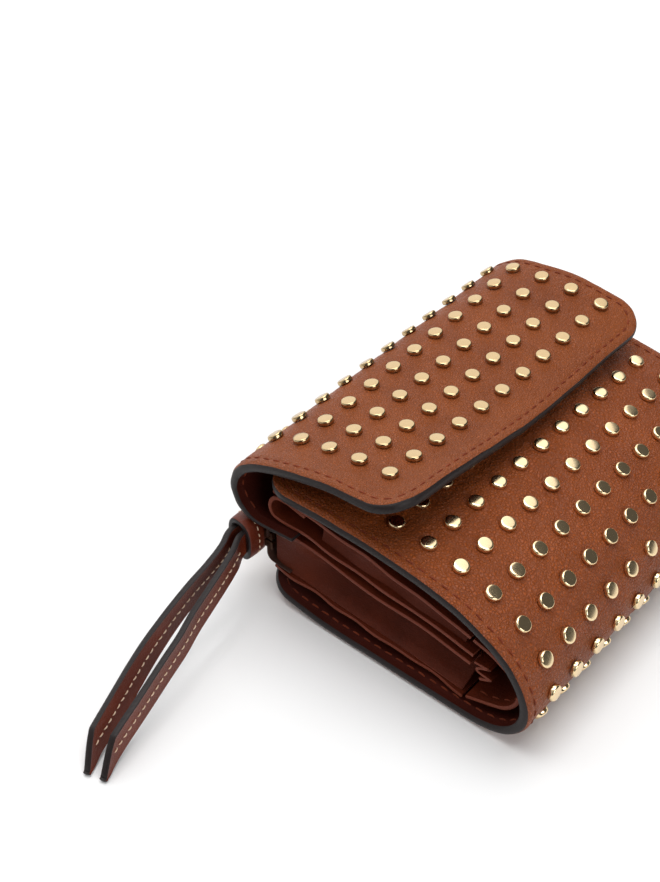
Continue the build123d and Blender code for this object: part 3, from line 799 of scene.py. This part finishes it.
def leaf(cad, points, half, thickness, seed, inner_seam=False, wobble=0.35):
    """A leaf along a profile, its outer face to the right of the way it runs, with stitches by both ends."""
    surface = Surface([points], half=half)
    s = np.linspace(0, surface.length, max(int(surface.length / 0.9), 12))
    u = np.linspace(-1, 1, 90)[:, None]
    x = u * half + np.sign(u) * ripples(s, s * 0, seed, 18.0, wobble) * np.abs(u) ** 6
    s = np.broadcast_to(s, x.shape)
    p, n = surface.face(x, s, 0.4)
    waves = ripples(x, s, seed + 5, 20.0, 0.16) * np.clip(surface.border(x, s) / 6 + 0.3, 0, 1)
    uv = sheet_uv(x, s + seed * 13.0)
    outer = p + n * waves[..., None]
    obj = slab(cad + "_shown", outer, n, uv, LEAF_FACES, thickness, bulge=0.16, edge_steps=4)
    place(obj, "wallet", cad)
    build = Builder()
    for side in (-1, 1):
        line = np.linspace(1.5, surface.length - 1.5, 500)
        p, n = surface.face(np.full(500, side * (half - LEAF_SEAM_INSET)), line)
        if inner_seam:
            p, n = p - n * thickness, -n
        stitches(build, (p + n * 0.05, n), seed=seed + side)
    place(build.build(cad + "_shown_seam", THREAD), "wallet")


def card_pocket(number):
    """A card pocket's front: the card leaf's profile where the CAD node covers it, lifted off the leaf."""
    cad = f"card_pocket_{number}"
    low, high = box_mm(cad)
    line = smooth(CARD_LEAF)
    line = line[(line[:, 0] < high[1]) & (line[:, 0] > low[1])]
    direction = unit(np.gradient(line, axis=0))
    outwards = np.stack([direction[:, 1], -direction[:, 0]], 1)
    first_lift, step = 0.8, 0.75
    line = line + outwards * (first_lift + (number - 1) * step)
    profile = line[:: max(len(line) // 9, 1)]
    half = (high[0] - low[0]) / 2 - 0.3
    leaf(cad, profile, half, POCKET_THICK, seed=40 + number, wobble=0.05)


leaf("card_leaf", CARD_LEAF, BLOCK_HALF, LEAF_THICK, seed=31)
leaf("fold_lining", FOLD, BLOCK_HALF, LEAF_THICK, seed=32, inner_seam=True)
leaf("note_pocket_wall", NOTE_WALL, BLOCK_HALF - 0.2, LEAF_THICK, seed=33)
leaf("coin_pocket_roof", ROOF, BLOCK_HALF, LEAF_THICK, seed=34, inner_seam=True)
leaf("coin_pocket_floor", FLOOR, BLOCK_HALF, LEAF_THICK, seed=35)
for number in (1, 2, 3):
    card_pocket(number)


# ---- end walls of the pockets, and the pleats in front of them ------------------------------------------
def height_on(points, y):
    """Height of a profile at y."""
    line = smooth(sorted(points))
    return float(np.interp(y, line[:, 0], line[:, 1]))


def folded_wall(cad, stations, thickness, seed):
    """An end wall joined along Y from stations, each a y and an outline of (x, z) points."""
    columns = []
    for y, outline in stations:
        line = smooth(outline, 40)
        columns.append(np.stack([line[:, 0], np.full(40, y), line[:, 1]], 1))
    even = np.linspace(0, 1, len(stations))
    columns = np.reshape(columns, (len(stations), 40 * 3))
    wall = points_at(columns, even, np.linspace(0, 1, 60)).reshape(60, 40, 3)
    normal = unit(np.cross(np.gradient(wall, axis=0), np.gradient(wall, axis=1)))
    wall = wall + normal * ripples(wall[..., 1], wall[..., 2], seed, 14.0, 0.22)[..., None]
    uv = sheet_uv(wall[..., 1], wall[..., 2] + wall[..., 0] * 0.5)
    obj = slab(cad + "_shown", wall, normal, uv, LEAF_FACES, thickness, bulge=0.1, edge_steps=3)
    place(obj, "wallet", cad)


def coin_gusset(cad, side, seed):
    """End wall of the coin pocket, folded inwards into a V that grows shallow towards the zip."""
    zip_y = 26.5
    under_roof, over_floor = 1.25, 0.35
    edge = side * (BLOCK_HALF - 0.7)
    stations = []
    for y, fold_depth in ((-24.5, 7.6), (-12.0, 7.6), (0.0, 7.6), (13.0, 7.6), (zip_y, 2.2), (32.2, 0.9)):
        beyond = max(y - zip_y, 0)
        high = height_on(ROOF, min(y, zip_y)) - under_roof - 0.07 * beyond
        low = height_on(FLOOR, min(y, zip_y)) + over_floor + 0.3 * beyond
        mid = (high + low) / 2
        fold = side * (BLOCK_HALF - fold_depth)
        knee = edge * 0.4 + fold * 0.6
        above, below = (knee, high * 0.62 + mid * 0.38), (knee, low * 0.62 + mid * 0.38)
        stations.append((y, [(edge, high), above, (fold, mid), below, (edge, low)]))
    folded_wall(cad, stations, 0.8, seed)


def note_gusset(cad, side, seed):
    """End wall of the note pocket, a shallow hollow between the card leaf and the pocket's floor."""
    inner, edge = side * (BLOCK_HALF - 1.9), side * (BLOCK_HALF - 1.0)
    under_leaf, over_floor = 1.35, 1.25
    stations = []
    for y in (-24.0, -12.0, 0.0, 18.0):
        high = height_on(CARD_LEAF, y) - under_leaf
        low = height_on(NOTE_FLOOR, y) + over_floor
        stations.append((y, [(edge, high), (inner, (high + low) / 2), (edge, low)]))
    folded_wall(cad, stations, 0.6, seed)


def strip(cad, points, materials, margin, grid, thickness, bulge, proud=0.0):
    """A plain band along a profile, as long in x as its CAD node less the margin at both ends.

    It stands proud of the profile by that much.
    """
    low, high = box_mm(cad)
    surface = Surface([points])
    columns, rows = grid
    x = np.linspace(low[0] + margin, high[0] - margin, columns)[:, None]
    x, s = np.broadcast_arrays(x, np.linspace(0, surface.length, rows)[None, :])
    p, n = surface.face(x, s)
    obj = slab(cad + "_shown", p + n * proud, n, sheet_uv(x, s), materials, thickness, bulge, edge_steps=3)
    place(obj, "wallet", cad)


for side, tag, seed in ((-1, "near", 22), (1, "far", 21)):  # side is the sign of x
    coin_gusset(f"coin_gusset_{tag}", side, seed)
    note_gusset(f"note_gusset_{tag}", side, seed)
    strip(
        f"gusset_pleat_{tag}", PLEAT, LEAF_FACES,
        margin=0.2, grid=(10, 90), thickness=0.7, bulge=0.1,
    )


# ---- zip and other metal --------------------------------------------------------------------------------
TAPE_UPPER = [(34.2, 17.2), (34.2, 18.8), (34.1, 20.0), (33.2, 20.65), (31.5, 20.75), (27.0, 20.6)]
TAPE_LOWER = [(27.0, 9.4), (31.6, 9.8), (33.4, 10.25), (34.15, 11.4), (34.2, 12.8), (34.2, 14.4)]
for cad, points in (("zip_tape_upper", TAPE_UPPER), ("zip_tape_lower", TAPE_LOWER)):
    strip(
        cad, points, [TAPE, TAPE, TAPE],
        margin=0.1, grid=(70, 26), thickness=0.5, bulge=0.08, proud=0.25,
    )

# These keep their CAD shape and get a better finish.
for cad, finish in (
    ("zip_teeth_upper", BRASS), ("zip_teeth_lower", BRASS), ("zip_stops", BRONZE), ("zip_slider", GOLD),
    ("slider_bail", GOLD), ("pull_ring", GOLD), ("snap_socket", GOLD), ("snap_puck", GOLD),
):
    metal_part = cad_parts[cad]
    metal_part.data.materials.clear()
    metal_part.data.materials.append(finish)


# ---- strap ----------------------------------------------------------------------------------------------
def ribbon(cad, centre, up, width, thickness, seed, edges=None, seam=None):
    """A band along centre, with painted edges. up is the direction of its width at each point.

    edges gives its lower and upper limit along up where its width changes. seam gives how far from its start
    and its end the stitches stop.
    """
    tangent = unit(np.gradient(centre, axis=0))
    up = unit(up - tangent * (up * tangent).sum(1, keepdims=True))
    normal = np.cross(tangent, up)
    across = np.linspace(-1, 1, 15)[:, None]
    low, high = edges or (np.full(len(centre), -width / 2), np.full(len(centre), width / 2))
    heights = low + (high - low) * (across + 1) / 2
    domed, worn = (1 - across**2) * 0.12, 0.05 * np.abs(across) ** 8
    crown = domed - worn
    grid = centre + up * heights[..., None] + normal * (thickness / 2 + crown[..., None])
    normals = np.broadcast_to(normal, grid.shape).copy()
    run = run_length(centre)
    uv = sheet_uv(heights + seed * 9.0, np.broadcast_to(run, heights.shape))
    obj = slab(cad + "_shown", grid, normals, uv, [STRAP, EDGE, STRAP], thickness, bulge=0.2)
    place(obj, "pull", cad)
    if seam is not None:
        keep = (run > seam[0]) & (run < run[-1] - seam[1])
        build = Builder()
        for sign, proud in ((1, 0.1), (-1, -0.02)):
            line = centre[keep] + normal[keep] * sign * (thickness / 2 + proud)
            stitches(build, (line, normal[keep] * sign), length=1.35, gap=0.5, radius=0.15, seed=seed)
        place(build.build(cad + "_shown_seam", CREAM), "pull")


# Middle line of each tail, and the lean of its top edge towards +Y in degrees.
REAR_TAIL = [
    (-52.4, 41.8, 15.6, 0.0), (-57.3, 41.4, 15.6, 4.0), (-62.0, 39.5, 15.0, 8.0), (-68.0, 38.6, 14.0, 4.0),
    (-74.0, 38.1, 12.9, 4.0), (-80.0, 37.3, 11.7, 6.0), (-86.0, 36.3, 10.3, 10.0), (-92.0, 35.1, 8.8, 16.0),
    (-98.0, 33.5, 7.4, 20.0), (-104.0, 31.7, 6.1, 21.0), (-110.0, 29.9, 5.0, 19.0), (-115.0, 28.4, 4.1, 14.0),
]
FRONT_TAIL = [
    (-52.4, 38.0, 15.6, 0.0), (-57.0, 38.2, 15.9, 1.0), (-62.0, 35.9, 15.7, 3.0), (-68.0, 34.1, 14.8, 3.0),
    (-74.0, 32.7, 13.6, 3.0), (-80.0, 31.5, 12.0, 4.0), (-86.0, 29.9, 10.3, 4.0), (-92.0, 28.6, 9.0, 4.0),
    (-98.0, 27.2, 7.8, 4.0), (-104.0, 25.8, 6.6, 3.0), (-110.0, 24.5, 5.4, 3.0), (-114.5, 23.4, 4.3, 3.0),
]
SLANT = 8.0  # length of the slanted cut at a tail's tip
TIP_WIDTH = 0.7
FLOOR_GAP = 0.35  # left under a tail


def strap_tail(cad, stations, tip, seed):
    """One end of the strap, along its stations to its tip, kept just clear of the floor."""
    line = smooth([station[:3] for station in stations] + [tip], 170)
    x, _, _, degrees = np.array(stations).T
    lean = np.radians(np.interp(-line[:, 0], -x, degrees))
    up = np.stack([0 * lean, np.sin(lean), np.cos(lean)], 1)
    run = run_length(line)
    cut = np.clip(1 - (run[-1] - run) / SLANT, 0, 1)
    low = np.maximum(-STRAP_WIDTH / 2, FLOOR_GAP - line[:, 2])
    high = np.maximum(STRAP_WIDTH / 2 - (STRAP_WIDTH - TIP_WIDTH) * cut**1.15, low + 0.6)
    ribbon(cad, line, up, STRAP_WIDTH, TAIL_THICK, seed, (low, high), seam=(7.0, 5.4))


def strap_root():
    """The hairpin in which the strap goes round the ring's outer bar."""
    ring_low, ring_high = box_mm("pull_ring")
    wire = 0.8  # radius of the ring's wire
    bar_x, bar_y = ring_low[0] + wire, ring_high[1] - wire
    inner_radius = 0.95  # a little more than the wire's
    radius = inner_radius + STRAP_THICK / 2
    turn = np.linspace(-math.pi / 2, math.pi / 2, 40)
    path = np.stack([bar_x + radius * np.cos(turn), bar_y + radius * np.sin(turn), np.full(40, STRAP_Z)], 1)
    upwards = np.tile([[0, 0, 1.0]], (40, 1))
    ribbon("strap_root", path, upwards, STRAP_WIDTH, STRAP_THICK, seed=53)


def strap_bight():
    """The band round both tails: a squarish loop across the strap, its rear side nearer the wallet."""
    low, high = box_mm("strap_bight")
    centre, size = (low + high) / 2, high - low
    inset = 0.85  # from the CAD box to the band's middle line
    slant = 0.12
    t = np.linspace(0, 2 * math.pi, 121)[:-1]
    square = 0.72  # exponent that squares off the round of the loop
    y = centre[1] + (size[1] / 2 - inset) * np.sign(np.cos(t)) * np.abs(np.cos(t)) ** square
    z = centre[2] + (size[2] / 2 - inset) * np.sign(np.sin(t)) * np.abs(np.sin(t)) ** square
    wrap = np.stack([np.full(len(t), low[0] + STRAP_WIDTH / 2 + 0.7), y, z], 1)
    wrap = resample(np.vstack([wrap, wrap[:1]]), 140)
    wrap[:, 0] += slant * (wrap[:, 1] - low[1])
    along_x = np.tile([[1.0, 0, 0]], (140, 1))
    ribbon("strap_bight", wrap, along_x, STRAP_WIDTH - 0.2, 1.5, seed=54, seam=(0.6, 0.6))


strap_tail("strap_tail_rear", REAR_TAIL, tip=(-120.6, 26.0, 3.0), seed=51)
strap_tail("strap_tail_front", FRONT_TAIL, tip=(-119.4, 21.6, 3.0), seed=52)
strap_root()
strap_bight()


# ---- stage, light and camera, in metres ---------------------------------------------------------------
def studio_floor():
    mesh = bpy.data.meshes.new("floor")
    mesh.from_pydata([(-6, -6, 0), (6, -6, 0), (6, 6, 0), (-6, 6, 0)], [], [(0, 1, 2, 3)])
    floor = bpy.data.objects.new("floor", mesh)
    bpy.context.scene.collection.objects.link(floor)
    white, _, _, shader = material("floor_white")
    shader.inputs["Base Color"].default_value = (0.84, 0.84, 0.84, 1)
    shader.inputs["Roughness"].default_value = 0.7
    shader.inputs["Specular IOR Level"].default_value = 0.2
    mesh.materials.append(white)


def studio_sky():
    """Pale behind the wallet and grey in front of it, so that studs show a dark side."""
    world = bpy.data.worlds.new("studio")
    bpy.context.scene.world = world
    world.use_nodes = True
    nodes, links = world.node_tree.nodes, world.node_tree.links
    where = node(nodes, "ShaderNodeTexCoord")
    towards = node(nodes, "ShaderNodeVectorMath", operation="DOT_PRODUCT")
    towards.inputs[1].default_value = (-0.10, 0.90, 0.15)
    links.new(where.outputs["Generated"], towards.inputs[0])
    grey, pale = (0.17, 0.17, 0.17), (0.95, 0.95, 0.95)
    bright = ramp(nodes, links, towards.outputs["Value"], [(0.0, grey), (0.22, pale)])
    links.new(bright, nodes["Background"].inputs["Color"])
    nodes["Background"].inputs["Strength"].default_value = 0.55


def area(name, location, size, watts):
    """A rectangular light turned towards the wallet."""
    light = bpy.data.lights.new(name, "AREA")
    light.shape = "RECTANGLE"
    light.size, light.size_y = size
    light.energy = watts
    lamp = bpy.data.objects.new(name, light)
    lamp.location = location
    lamp.rotation_euler = (Vector((0, 0, 0.02)) - Vector(location)).to_track_quat("-Z", "Y").to_euler()
    bpy.context.scene.collection.objects.link(lamp)


studio_floor()
studio_sky()
area("key", (0.30, 0.80, 0.90), size=(2.3, 1.9), watts=14.2)
area("top", (0.10, 0.0, 1.2), size=(1.0, 1.0), watts=9.9)
area("front", (-0.25, -0.95, 0.60), size=(0.8, 0.5), watts=4.8)

scene = bpy.context.scene
lens = bpy.data.cameras.new("camera")
lens.sensor_width = 36.0
lens.lens = 53.06
lens.clip_start = 0.01
camera = bpy.data.objects.new("camera", lens)
camera.location = (-0.2175, -0.1268, 0.2359)
camera.rotation_euler = Vector((0.5893, 0.5015, -0.6334)).to_track_quat("-Z", "Y").to_euler()
scene.collection.objects.link(camera)
scene.camera = camera
scene.view_settings.view_transform = "Standard"
scene.view_settings.look = "None"

bpy.context.view_layer.update()
